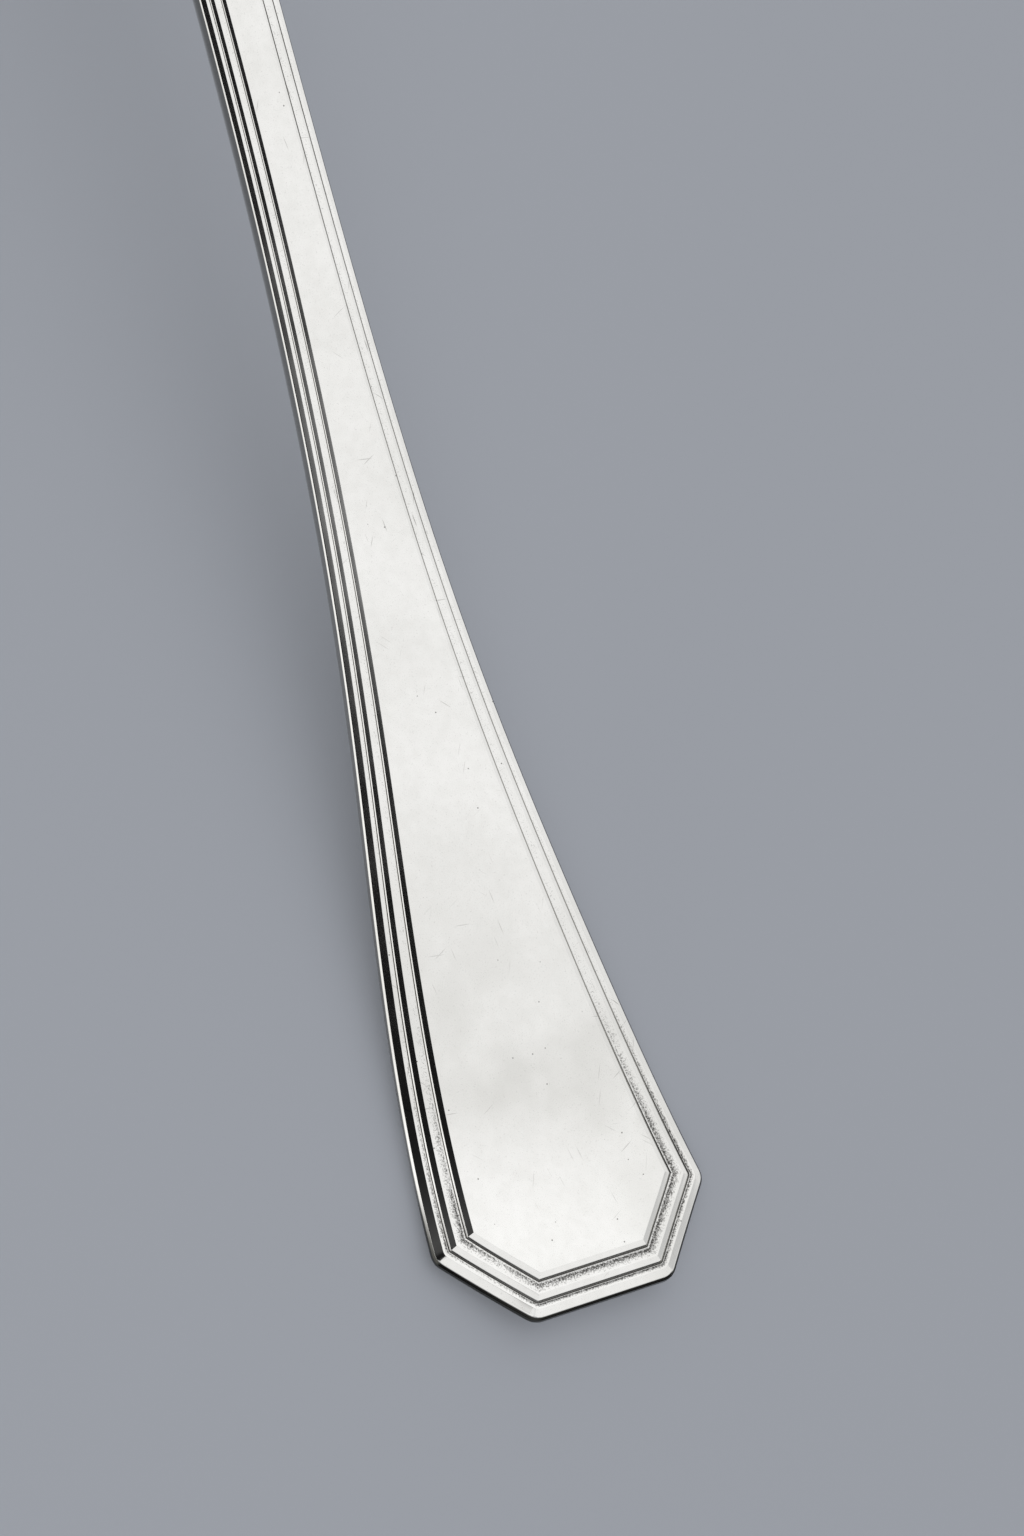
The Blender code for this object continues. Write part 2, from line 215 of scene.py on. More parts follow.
# Silver: its colours and roughness, and the colours of its marks
SILVER = "#f0eee9"
SOLDER_SILVER = "#e2ded4"
HANDLE_ROUGHNESS = 0.085
BOWL_ROUGHNESS = 0.075
SOLDER_ROUGHNESS = 0.20
# colour of the haze, which also paints a dimmer reflection behind the end
HAZE_AND_DIMMING_COLOUR = "#d9d7d1"
POLISH_COLOUR = "#dcdad4"
HAIRLINE_COLOUR = "#8f8c86"
PIT_COLOUR = "#4a4640"
# colour of the painted dark reflection on the side wall and the outer facet
PAINTED_DARK_REFLECTION_COLOUR = "#3f3f39"
# colour of the grime, also used for the creases' black of grime and painted shade
GRIME_AND_CREASE_SHADE_COLOUR = "#24211d"

# Softboxes: place, aim, width and height, brightness
SOFTBOXES = (
    ("softbox_above_right", (0.175, 0.81, 1.0), (0.175, 0.81, 0.0), (2.05, 1.83), 0.29),
    ("softbox_over_end", (0.51, -0.50, 1.0), (0.09, 0.0, 0.0), (0.45, 0.7), 0.30),
    ("strip_left", (-0.1, -1.2, 0.21), (-0.1, 0.0, 0.21), (1.8, 0.4), 0.8),
    ("strip_right", (-0.1, 1.2, 0.21), (-0.1, 0.0, 0.21), (1.8, 0.4), 0.25),
    ("fill_for_floor", (-0.1, -0.9, 1.2), (0.0, 0.0, 0.0), (2.0, 1.4), 2.0),
)
SHADOWLESS = ("softbox_above_right", "fill_for_floor")
UNMIRRORED = ("fill_for_floor",)

# Dome: glows, each a way, where along it the glow starts and is full, and its least and most
LIGHT_FROM = Vector((0.30, 0.50, 0.80)).normalized()
DOME_GLOWS = (
    (LIGHT_FROM, -0.50, 0.95, 0.42, 0.80),
    ((-1.0, 0.0, 0.0), -0.10, 0.35, 0.0, 0.14),
)
DOME_COLOUR = "#f4f6fa"
# Edges of the dome's unlit openings: a way across, where along it is dark, and where it is bright again
OPENING_LEFT = (
    ((1.0, 0.0, 0.0), 0.12, 0.20),
    ((1.0, 0.0, 0.0), -0.10, -1.10),
    ((0.0, 1.0, 0.0), -0.26, -0.14),
    ((0.0, 0.0, 1.0), 0.36, 0.28),
)
OPENING_LOW_AT_END = (
    ((1.0, 0.0, 0.0), 0.46, 0.34),
    ((0.0, 0.0, 1.0), 0.36, 0.50),
)
OPENING_LIGHT = 0.015  # what is left in an opening

# Floor and camera
FLOOR_REACH = 4.0
FLOOR_COLOUR = "#8f9298"
FLOOR_ROUGHNESS = 0.8
CAMERA_AT = (0.10915, -0.16790, 0.37674)
CAMERA_TURN = (15.748, -21.022, 69.409)  # degrees
CAMERA_LENS = 140.6

SMOOTH = {"interpolation_type": "SMOOTHSTEP"}
DOT = {"operation": "DOT_PRODUCT"}


def bezier(start, pull, push, end, count):
    return interpolate_bezier(Vector(start), Vector(pull), Vector(push), Vector(end), count)


def eased(low, high, value):
    share = min(max((value - low) / (high - low), 0.0), 1.0)
    return share * share * (3.0 - 2.0 * share)


def linear(hex_colour):
    """An sRGB hex colour as linear light, with full alpha."""
    parts = [int(hex_colour[i : i + 2], 16) / 255 for i in (1, 3, 5)]
    return (*[p / 12.92 if p <= 0.04045 else ((p + 0.055) / 1.055) ** 2.4 for p in parts], 1.0)


def node(tree, kind, settings=None, **links):
    """Adds a node with its settings and links.

    An input is given by its name, with _ for a space, or by _ and its number. It takes a value, a socket,
    or a node, which stands for its first output.
    """
    made = tree.nodes.new(kind)
    for name, value in (settings or {}).items():
        setattr(made, name, value)
    for name, value in links.items():
        place = int(name[1:]) if name[1:].isdigit() else name.replace("_", " ")
        if isinstance(value, bpy.types.Node):
            value = value.outputs[0]
        if isinstance(value, bpy.types.NodeSocket):
            tree.links.new(value, made.inputs[place])
        else:
            made.inputs[place].default_value = value
    return made


def rim_at(x):
    away = (x - BOWL_MIDDLE) / (BOWL_LENGTH - WIDEST_AT)
    return RIM_HEIGHT + RIM_SHEER * away * away


def wall_below(run, length):
    blank = END_WALL + (NECK_WALL - END_WALL) * eased(0.0, NECK_AT, run)
    return blank + (ROOT_WALL - blank) * eased(JOINT_AT, length, run)


def side_line():
    """Control points of the side line, in the part's frame: handle, arch and the heel under the bowl."""
    tip = Vector((0.0, 0.0))
    crest = Vector((CREST_AT, CREST_RISE))
    tip_pull = tip + TIP_PULL * Vector((1.0, -math.tan(TIP_ANGLE)))
    crest_push = crest - CREST_PULL * Vector((1.0, math.tan(CREST_ANGLE)))
    points = bezier(tip, tip_pull, crest_push, crest, LINE_STEPS)
    lowest = 0.0
    run = 0.0
    for before, after in zip(points, points[1:]):
        run += (after - before).length
        way = (after - before).normalized()
        lowest = min(lowest, after.y - way.x * wall_below(run, LENGTH))
    shift = Vector(((END_WALL - UNDER_BEVEL_RISE) * math.sin(TIP_ANGLE), -lowest))
    handle = [point + shift for point in (tip, tip_pull, crest_push, crest)]

    crest = handle[-1]
    back = Vector((BACK_AT, rim_at(BOWL_BACK) + ROOT_ABOVE_RIM))
    inside = ((1.0 - HEEL / WIDEST_AT - FLAT_SHARE) / (1.0 - FLAT_SHARE)) ** 2
    middle = FLOOR / 2 + (RIM_HEIGHT - FLOOR / 2) * inside
    heel = Vector((BACK_AT + HEEL, middle + ROOT_WALL / 2))
    arch_pull = crest + ARCH_PULL * Vector((1.0, math.tan(CREST_ANGLE)))
    back_push = back - ROOT_BEND_PULL * (heel - back).normalized()
    arch = [crest, arch_pull, back_push, back]
    straight = [back, back.lerp(heel, 1 / 3), back.lerp(heel, 2 / 3), heel]
    return [[Vector((LENGTH / 2 - p.x, 0.0, p.y)) for p in stretch] for stretch in (handle, arch, straight)]


def runs_of(stretches):
    """Length of each stretch of the side line."""
    lengths = []
    for stretch in stretches:
        points = interpolate_bezier(*stretch, LINE_STEPS)
        lengths.append(sum((b - a).length for a, b in zip(points, points[1:])))
    return lengths


def scarf_joint(stretches, lengths):
    """Where the scarf crosses the side line, and the way its face looks, along the neck and up."""
    arch = interpolate_bezier(*stretches[1], LINE_STEPS)
    run = lengths[0]
    for before, after in zip(arch, arch[1:]):
        if run + (after - before).length >= JOINT_AT:
            break
        run += (after - before).length
    way = (after - before).normalized()
    up = Vector((0.0, 1.0, 0.0)).cross(way)
    return before + way * (JOINT_AT - run), way * math.sin(JOINT_ANGLE) + up * math.cos(JOINT_ANGLE)


def egg(inset):
    """Outline of the bowl, all round from its back, brought in by inset."""
    back = Vector((BOWL_BACK - inset, 0.0))
    tip = Vector((inset - LENGTH / 2, 0.0))
    half = BOWL_WIDTH / 2 - inset
    widest = Vector((BOWL_MIDDLE, half))
    back_pull = Vector((back.x, half * BACK_FULLNESS))
    wide_push = Vector((BOWL_MIDDLE + (back.x - BOWL_MIDDLE) * BACK_FULLNESS, half))
    wide_pull = Vector((BOWL_MIDDLE + (tip.x - BOWL_MIDDLE) * SIDE_FULLNESS, half))
    tip_push = Vector((tip.x, half * TIP_FULLNESS))
    rear = bezier(back, back_pull, wide_push, widest, QUARTER_STEPS)
    front = bezier(widest, wide_pull, tip_push, tip, QUARTER_STEPS)
    left = rear + front[1:]
    return left + [Vector((point.x, -point.y)) for point in reversed(left[1:-1])]


def handle_outline(length, heel_length):
    """Half widths by distance from the end, corner to corner: chamfer, side with its shoulder, heel."""
    half = END_WIDTH / 2
    narrow = NECK_WIDTH / 2
    wide = ROOT_WIDTH / 2
    corner = Vector((CHAMFER_AT, half))
    flat = Vector((0.0, END_FLAT / 2))
    chamfer = [flat.lerp(corner, i / CHAMFER_STEPS) for i in range(CHAMFER_STEPS)]
    flare = corner + FLARE_PULL * Vector((1.0, -FLARE))
    side = bezier(corner, flare, (NECK_AT - NECK_PULL, narrow), (NECK_AT, narrow), SIDE_STEPS)
    edge = [point for point in egg(0.0)[:QUARTER_STEPS] if point.y <= wide]
    reach = BOWL_BACK - edge[-1].x + RIM_EDGE
    shoulder = Vector((length - heel_length * (1.0 - reach / HEEL), wide))
    push = shoulder - SHOULDER_PULL * Vector((math.cos(SHOULDER_ANGLE), math.sin(SHOULDER_ANGLE)))
    root = bezier((NECK_AT, narrow), (NECK_AT + ROOT_PULL, narrow), push, shoulder, ROOT_STEPS)
    full = math.acos(HEEL_TIP / ROOT_WIDTH)
    heel = []
    for i in range(1, HEEL_STEPS + 1):
        turn = full * i / HEEL_STEPS
        run = shoulder.x + (length - shoulder.x) * math.sin(turn) / math.sin(full)
        heel.append(Vector((run, wide * math.cos(turn))))
    return [chamfer + [corner], side + root[1:], [shoulder] + heel]


def border_size(run, half):
    """Size of the border there: it follows the handle's width down to the neck."""
    if run <= CHAMFER_AT:
        return 1.0
    if run >= NECK_AT:
        return NECK_BORDER
    share = (half - NECK_WIDTH / 2) / (END_WIDTH / 2 - NECK_WIDTH / 2)
    return NECK_BORDER + (1.0 - NECK_BORDER) * share


def struck(step):
    """A step as (in, up, grime, line): a facet, a straight face and a worn crest."""
    facet, face = step
    foot = facet * math.tan(FACET_ANGLE)
    straight = face * FACE_SHARE
    top = foot + straight * math.tan(FACE_ANGLE)
    radius = (face - straight) / math.sin(FACE_ANGLE)
    points = []
    for share in FACET_PLACES:
        # the facet's foot is painted darker, as shade next to the crease
        points.append((facet * share, foot * share, 0.0, FOOT_BLACK * (1.0 - share**4)))
    for share in FACE_PLACES:
        points.append((facet + straight * share, foot + (top - foot) * share, 0.0, 0.0))
    for i in range(1, CREST_STEPS + 1):
        turn = FACE_ANGLE * (1.0 - i / CREST_STEPS)
        inwards = facet + straight + radius * (math.sin(FACE_ANGLE) - math.sin(turn))
        points.append((inwards, top + radius * (math.cos(turn) - math.cos(FACE_ANGLE)), 0.0, 0.0))
    return points


def coved(tread):
    """A tread as (in, up, grime, line): it falls from its crest, and its grime stops short of a clean lip."""
    width, fall = tread
    points = []
    for i in range(1, TREAD_STEPS + 1):
        share = i / TREAD_STEPS
        grime = min(share / GRIME_DEEPEST, 1.0) * (1.0 - LIP_CLEAN * eased(GRIME_DEEPEST, LIP_FROM, share))
        points.append(((width - CREASE[0]) * share, fall * share**2, grime, 0.0))
    return points


def crease():
    """The struck line at a step's foot, painted black as grime and as the shade in the crease, as (in, up,
    grime, line).
    """
    width, depth = CREASE
    return [(width / 2, -depth, 0.0, CREASE_BLACK[0]), (width, 0.0, 0.0, CREASE_BLACK[1])]


def border_profile():
    """Points of the border from the side wall in to the panel, as (in, up, grime, line)."""
    points = [(0.0, 0.0, 0.0, 0.0)]
    stretches = (
        struck(OUTER_STEP),
        coved(OUTER_TREAD),
        crease(),
        struck(MIDDLE_STEP),
        coved(MIDDLE_TREAD),
        crease(),
        struck(PANEL_STEP),
        [(inwards, 0.0, 0.0, 0.0) for inwards in PANEL_RINGS],
    )
    for stretch in stretches:
        base = points[-1]
        points += [(base[0] + a, base[1] + b, grime, line) for a, b, grime, line in stretch]
    return points


def under_profile():
    """Points of the underside out to the wall, as (in, up, grime, line): a bevel with its corners worn."""
    under = Vector((UNDER_BEVEL * 2, -END_WALL))
    low = Vector((UNDER_BEVEL, -END_WALL))
    high = Vector((0.0, UNDER_BEVEL_RISE - END_WALL))
    points = [Vector((UNDER_BEVEL * 3, -END_WALL))]
    for before, corner, after in ((under, low, high), (low, high, Vector((0.0, 0.0)))):
        start = corner.lerp(before, UNDER_WORN)
        end = corner.lerp(after, UNDER_WORN)
        for share in np.linspace(0.0, 1.0, UNDER_STEPS):
            points.append(start.lerp(corner, share).lerp(corner.lerp(end, share), share))
    return [(inset, height, 0.0, 0.0) for inset, height in points]


def way_along(points, i):
    return (points[min(i + 1, len(points) - 1)] - points[max(i - 1, 0)]).normalized()


def drawn_in(edges, inset, worn):
    """A closed outline brought in evenly. Edges are shortened to fit their mitres, worn corners rounded."""
    moved = []
    for before, edge, after, rounded in zip(edges[-1:] + edges, edges, edges[1:] + edges[:1], worn):
        arrive = way_along(before, len(before) - 1)
        first = way_along(edge, 0)
        last = way_along(edge, len(edge) - 1)
        start_slip = math.tan(arrive.angle_signed(first, 0.0) / -2.0)
        end_slip = math.tan(last.angle_signed(way_along(after, 0), 0.0) / -2.0)
        points = []
        for i, point in enumerate(edge[:-1]):
            way = way_along(edge, i)
            share = i / (len(edge) - 1)
            slip = start_slip * (1.0 - share) - end_slip * share
            points.append(point + inset * (Vector((-way.y, way.x)) + way * slip))
        if rounded:
            corner = points.pop(0)
            reach = max(CORNER_ROUND - inset, CORNER_LEAST) * abs(start_slip)
            start = corner - arrive * reach
            end = corner + first * reach
            for share in np.linspace(0.0, 1.0, CORNER_STEPS):
                moved.append(start.lerp(corner, share).lerp(corner.lerp(end, share), share))
        moved += points
    return moved


def grime_at(run):
    """Share of the grime that stays in a tread: it is wiped off along the sides."""
    return GRIME_AT_END + (GRIME_ON_SIDES - GRIME_AT_END) * eased(CHAMFER_AT, SIDE_WIPED_AT, run)


def rubbed_at(run):
    """What handling takes off the black lines: it spares the end, and the neck in part."""
    spared = NECK_SPARED * eased(0.0, NECK_AT, run)
    return SIDE_RUBBED * eased(CHAMFER_AT, SIDE_WORN_AT, run) * (1.0 - spared)


def painted_dark_reflection_at(past_wall, share, place):
    """Painted dark reflection on the side wall, most under the end, and on the outer facet but for the left
    side.
    """
    along_side = eased(CHAMFER_AT, SIDE_WORN_AT, place.x)
    if past_wall <= 0:
        most = WALL_DARK_REFLECTION_AT_END + (WALL_DARK_REFLECTION_ON_SIDES - WALL_DARK_REFLECTION_AT_END) * along_side
        most += WALL_DARK_REFLECTION_TO_NECK * eased(NECK_AT / 3, NECK_AT, place.x)
        return min(share * most, 1.0)
    left = eased(-LEFT_BLEND, 0.0, place.y)
    return FACET_DARK_REFLECTION * (1.0 - along_side * left) if past_wall <= FACET_LEVELS else 0.0


def struck_blank(lengths):
    """The handle before it is bent: x runs from its end, y across it and z up from its side line."""
    length = sum(lengths)
    sides = handle_outline(length, lengths[2])
    runs = [point.x for side in sides for point in side]
    sizes = [border_size(point.x, point.y) for side in sides for point in side]
    # The border is struck at one size all round; each place is then scaled back, so it follows the width.
    near = [[Vector((p.x, -p.y / border_size(p.x, p.y))) for p in side] for side in sides]
    far = [[Vector((p.x, -p.y)) for p in reversed(side)] for side in reversed(near)]
    edges = near + [[near[-1][-1], far[0][0]]] + far + [[far[-1][-1], near[0][0]]]
    # Only the end's four corners are worn round.
    worn = (True, True, False, False, False, False, True, True)
    count = sum(len(side) - 1 for side in sides) + 1 + 2 * (CORNER_STEPS - 1)
    fade_from = NECK_AT + BORDER_END
    outer_rise = struck(OUTER_STEP)[-1][1]

    shape = bmesh.new()
    for layer in WEAR_AND_SHADE_LAYERS:
        shape.verts.layers.float.new(layer)
    grime_layer, line_layer, painted_dark_reflection_layer = [shape.verts.layers.float[layer] for layer in WEAR_AND_SHADE_LAYERS]
    loops = []
    under = under_profile()
    wall_at = len(under)
    for level, (inset, height, grime, line) in enumerate(under + border_profile()):
        loop = []
        for point in drawn_in(edges, inset, worn):
            size = float(np.interp(point.x, runs, sizes))
            kept = 1.0 - eased(fade_from, fade_from + BORDER_FADE, point.x)
            if height > 0.0:
                plain = min(height, outer_rise)
                rise = (plain + (height - plain) * kept) * size * (1.0 - eased(JOINT_AT, length, point.x))
            else:
                rise = height * wall_below(point.x, length) / END_WALL
            vert = shape.verts.new((point.x, point.y * size, rise))
            vert[grime_layer] = grime * kept * grime_at(point.x)
            # the creases' black: grime and painted shade
            vert[line_layer] = max(line - rubbed_at(point.x), 0.0) * kept
            # painted dark reflection on the side wall and the outer facet
            vert[painted_dark_reflection_layer] = painted_dark_reflection_at(level - wall_at, level / wall_at, point)
            loop.append(vert)
        loops.append(loop)
    for lower, upper in zip(loops, loops[1:]):
        for i in range(count * 2):
            j = (i + 1) % (count * 2)
            shape.faces.new((lower[i], lower[j], upper[j], upper[i]))
    for i in range(count - 1):
        shape.faces.new([loops[-1][k] for k in (i, i + 1, -i - 2, -i - 1)])
        shape.faces.new([loops[0][k] for k in (-i - 1, -i - 2, i + 1, i)])
    bmesh.ops.recalc_face_normals(shape, faces=shape.faces)
    return finished(shape, "struck_blank")


def finished(shape, name):
    mesh = bpy.data.meshes.new(name)
    shape.to_mesh(mesh)
    shape.free()
    return mesh


def new_tree(name, inputs):
    """A tree of geometry nodes with named inputs, the first a shape and the last a material."""
    tree = bpy.data.node_groups.new(name, "GeometryNodeTree")
    tree.interface.new_socket("Geometry", in_out="INPUT", socket_type="NodeSocketGeometry")
    for label, kind in inputs:
        tree.interface.new_socket(label, in_out="INPUT", socket_type="NodeSocket" + kind)
    tree.interface.new_socket("Finish", in_out="INPUT", socket_type="NodeSocketMaterial")
    tree.interface.new_socket("Geometry", in_out="OUTPUT", socket_type="NodeSocketGeometry")
    return tree, tree.nodes.new("NodeGroupInput").outputs


def end_tree(tree, given, shape):
    realized = node(tree, "GeometryNodeRealizeInstances", Geometry=shape)
    painted = node(tree, "GeometryNodeSetMaterial", Geometry=realized, Material=given["Finish"])
    node(tree, "NodeGroupOutput", Geometry=painted)
    return tree


def bending_tree():
    """Bends a flat blank along the side line: x becomes the distance along it, and z the height off it."""
    labels = [f"{stretch} {place}" for stretch in STRETCHES for place in CURVE_POINTS]
    tree, given = new_tree("bend_along_side_line", [(label, "Vector") for label in labels])
    joined = tree.nodes.new("GeometryNodeJoinGeometry")
    for stretch in reversed(STRETCHES):
        curve = node(
            tree,
            "GeometryNodeCurvePrimitiveBezierSegment",
            {"mode": "POSITION"},
            Resolution=LINE_STEPS,
            Start=given[f"{stretch} start"],
            Start_Handle=given[f"{stretch} pull"],
            End_Handle=given[f"{stretch} push"],
            End=given[f"{stretch} end"],
        )
        tree.links.new(curve.outputs[0], joined.inputs[0])
    flat = node(tree, "ShaderNodeSeparateXYZ", Vector=node(tree, "GeometryNodeInputPosition")).outputs
    whole_line = {"mode": "LENGTH", "use_all_curves": True}
    line = node(tree, "GeometryNodeSampleCurve", whole_line, Curves=joined, Length=flat["X"]).outputs
    across = (0.0, 1.0, 0.0)
    up = node(tree, "ShaderNodeVectorMath", {"operation": "CROSS_PRODUCT"}, _0=across, _1=line["Tangent"])
    lift = node(tree, "ShaderNodeVectorMath", {"operation": "SCALE"}, _0=up, Scale=flat["Z"])
    mirrored = node(tree, "ShaderNodeMath", {"operation": "MULTIPLY"}, _0=flat["Y"], _1=-1.0)
    aside = node(tree, "ShaderNodeCombineXYZ", Y=mirrored)
    raised = node(tree, "ShaderNodeVectorMath", _0=line["Position"], _1=lift)
    place = node(tree, "ShaderNodeVectorMath", _0=raised, _1=aside)
    bent = node(tree, "GeometryNodeSetPosition", Geometry=given["Geometry"], Position=place)
    return end_tree(tree, given, bent)


def pressing_tree():
    """Presses a flat blank into the bowl: flat to its floor's edge, then rising as a square to the rim."""
    sizes = ("Rim height", "Rim sheer", "Middle", "Reach", "Flat share")
    tree, given = new_tree("press_bowl", [(label, "Float") for label in sizes])
    edge, share, floor = [
        node(tree, "GeometryNodeInputNamedAttribute", {"data_type": "FLOAT"}, Name=layer).outputs["Attribute"]
        for layer in ("edge", "share", "floor")
    ]
    past_middle = node(tree, "ShaderNodeMath", {"operation": "SUBTRACT"}, _0=edge, _1=given["Middle"])
    away = node(tree, "ShaderNodeMath", {"operation": "DIVIDE"}, _0=past_middle, _1=given["Reach"])
    away_squared = node(tree, "ShaderNodeMath", {"operation": "POWER"}, _0=away, _1=2.0)
    sheer = node(tree, "ShaderNodeMath", {"operation": "MULTIPLY"}, _0=given["Rim sheer"], _1=away_squared)
    rim = node(tree, "ShaderNodeMath", {"operation": "ADD"}, _0=given["Rim height"], _1=sheer)
    past_flat = node(tree, "ShaderNodeMath", {"operation": "SUBTRACT"}, _0=share, _1=given["Flat share"])
    wall_reach = node(tree, "ShaderNodeMath", {"operation": "SUBTRACT"}, _0=1.0, _1=given["Flat share"])
    up_wall = node(tree, "ShaderNodeMath", {"operation": "DIVIDE"}, _0=past_flat, _1=wall_reach)
    on_wall = node(tree, "ShaderNodeMath", {"operation": "MAXIMUM"}, _0=up_wall, _1=0.0)
    rise = node(tree, "ShaderNodeMath", {"operation": "POWER"}, _0=on_wall, _1=2.0)
    depth = node(tree, "ShaderNodeMath", {"operation": "SUBTRACT"}, _0=rim, _1=floor)
    above_floor = node(tree, "ShaderNodeMath", {"operation": "MULTIPLY"}, _0=rise, _1=depth)
    height = node(tree, "ShaderNodeMath", {"operation": "ADD"}, _0=floor, _1=above_floor)
    lift = node(tree, "ShaderNodeCombineXYZ", Z=height)
    pressed = node(tree, "GeometryNodeSetPosition", Geometry=given["Geometry"], Offset=lift)
    return end_tree(tree, given, pressed)


def worked(mesh, tree, values, finish):
    """The mesh after a tree has worked on it, as a plain mesh."""
    blank = bpy.data.objects.new(mesh.name, mesh)
    bpy.context.scene.collection.objects.link(blank)
    modifier = blank.modifiers.new(tree.name, "NODES")
    modifier.node_group = tree
    for item in tree.interface.items_tree:
        if item.in_out == "INPUT" and item.name in values:
            modifier[item.identifier] = values[item.name]
        elif item.in_out == "INPUT" and item.name == "Finish":
            modifier[item.identifier] = finish
    return plain_mesh(blank)


def plain_mesh(made):
    """The evaluated mesh of a helper object, which is then removed."""
    bpy.context.view_layer.update()
    mesh = bpy.data.meshes.new_from_object(made.evaluated_get(bpy.context.evaluated_depsgraph_get()))
    bpy.data.objects.remove(made)
    return mesh


def bent_stem(stretches, lengths, finish):
    """The whole handle with its root, struck flat and bent along the side line."""
    controls = {}
    for stretch, points in zip(STRETCHES, stretches):
        for place, point in zip(CURVE_POINTS, points):
            controls[f"{stretch} {place}"] = point
    return worked(struck_blank(lengths), bending_tree(), controls, finish)


def bowl_blank(name, rings):
    """The bowl's flat rings, out and over the rim, each an inset, a share of the outline and a floor."""
    shape = bmesh.new()
    layers = {label: shape.verts.layers.float.new(label) for label in ("share", "edge", "floor")}
    rows = []
    for inset, share, floor in rings:
        row = []
        for point in egg(inset):
            place = Vector((BOWL_MIDDLE, 0.0)).lerp(point, share)
            vert = shape.verts.new((place.x, place.y, 0.0))
            vert[layers["share"]] = share
            vert[layers["edge"]] = point.x
            vert[layers["floor"]] = floor
            row.append(vert)
        rows.append(row)
    for inner, outer in zip(rows, rows[1:]):
        for i in range(len(inner)):
            j = (i + 1) % len(inner)
            shape.faces.new((inner[i], inner[j], outer[j], outer[i]))
    shape.faces.new(list(reversed(rows[0])))
    shape.faces.new(rows[-1])
    return finished(shape, name)


def wall_shares(highest):
    return [FLAT_SHARE + (highest - FLAT_SHARE) * i / RING_STEPS for i in range(RING_STEPS + 1)]


def cut_off(mesh, place, way):
    """A copy of a closed mesh without what lies past a plane, closed again there."""
    shape = bmesh.new()
    shape.from_mesh(mesh)
    everything = shape.verts[:] + shape.edges[:] + shape.faces[:]
    bmesh.ops.bisect_plane(shape, geom=everything, plane_co=place, plane_no=way, clear_outer=True)
    open_edges = [edge for edge in shape.edges if edge.is_boundary]
    bmesh.ops.holes_fill(shape, edges=open_edges, sides=0)
    return finished(shape, mesh.name)


def combined(mesh, tools):
    """The mesh after Boolean steps, each an operation and another mesh."""
    made = bpy.data.objects.new("combined", mesh)
    bpy.context.scene.collection.objects.link(made)
    helpers = []
    for operation, other in tools:
        helper = bpy.data.objects.new("tool", other)
        bpy.context.scene.collection.objects.link(helper)
        helpers.append(helper)
        modifier = made.modifiers.new(operation, "BOOLEAN")
        modifier.operation = operation
        modifier.solver = "EXACT"
        modifier.object = helper
    mesh = plain_mesh(made)
    for helper in helpers:
        bpy.data.objects.remove(helper)
    return mesh


def notch_rod():
    edge = min(egg(0.0), key=lambda point: abs(point.x - (BOWL_MIDDLE - NOTCH_AT)))
    shape = bmesh.new()
    bmesh.ops.create_cone(
        shape,
        cap_ends=True,
        segments=NOTCH_SIDES,
        radius1=NOTCH_RADIUS,
        radius2=NOTCH_RADIUS,
        depth=RIM_HEIGHT * 2,
    )
    bmesh.ops.translate(shape, verts=shape.verts, vec=(edge.x, -abs(edge.y), RIM_HEIGHT))
    return finished(shape, "notch")


def rounded_rim(mesh):
    """The bowl's shell with the two edges of its rim rounded."""
    made = bpy.data.objects.new("shell", mesh)
    bpy.context.scene.collection.objects.link(made)
    bevel = made.modifiers.new("rim", "BEVEL")
    bevel.limit_method = "ANGLE"
    bevel.angle_limit = RIM_CORNER
    bevel.width = RIM_ROUND
    bevel.segments = RIM_STEPS
    return plain_mesh(made)


def pressed_bowl(root, finish):
    """The bowl: a pressed shell, with the root of the neck and its heel joined on, and the notch cut."""
    press = pressing_tree()
    press_sizes = {
        "Rim height": RIM_HEIGHT,
        "Rim sheer": RIM_SHEER,
        "Middle": BOWL_MIDDLE,
        "Reach": BOWL_LENGTH - WIDEST_AT,
        "Flat share": FLAT_SHARE,
    }
    outer_wall = [(0.0, share, 0.0) for share in wall_shares(1.0)]
    inner_wall = [(RIM_EDGE, share, FLOOR) for share in reversed(wall_shares(1.0))]
    shell = rounded_rim(worked(bowl_blank("shell", outer_wall + inner_wall), press, press_sizes, finish))
    mid_wall = [(RIM_EDGE / 2, share, FLOOR / 2) for share in wall_shares(HOLLOW_SHARE)]
    hollow = worked(bowl_blank("hollow", mid_wall), press, press_sizes, finish)
    root = combined(root, [("DIFFERENCE", hollow)])
    return combined(shell, [("UNION", root), ("DIFFERENCE", notch_rod())])


def piece(name, mesh, finish, node_name):
    """A finished piece of the spoon, which stands for a CAD node."""
    mesh.name = name
    mesh.materials.clear()
    mesh.materials.append(finish)
    mesh.polygons.foreach_set("use_smooth", [True] * len(mesh.polygons))
    mesh.polygons.foreach_set("material_index", [0] * len(mesh.polygons))
    mesh.set_sharp_from_angle(angle=SHARP_FROM)
    made = bpy.data.objects.new(name, mesh)
    bpy.context.scene.collection.objects.link(made)
    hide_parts(node_name)
    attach(made, "root")
    return made


def clouds(tree, where, pattern, most=1.0, least=0.0):
    """Soft clouds of one pattern, from least to most."""
    size, start, full, detail = pattern
    noise = node(tree, "ShaderNodeTexNoise", Vector=where, Scale=1.0 / size, Detail=detail)
    return node(
        tree, "ShaderNodeMapRange", Value=noise, From_Min=start, From_Max=full, To_Min=least, To_Max=most
    )


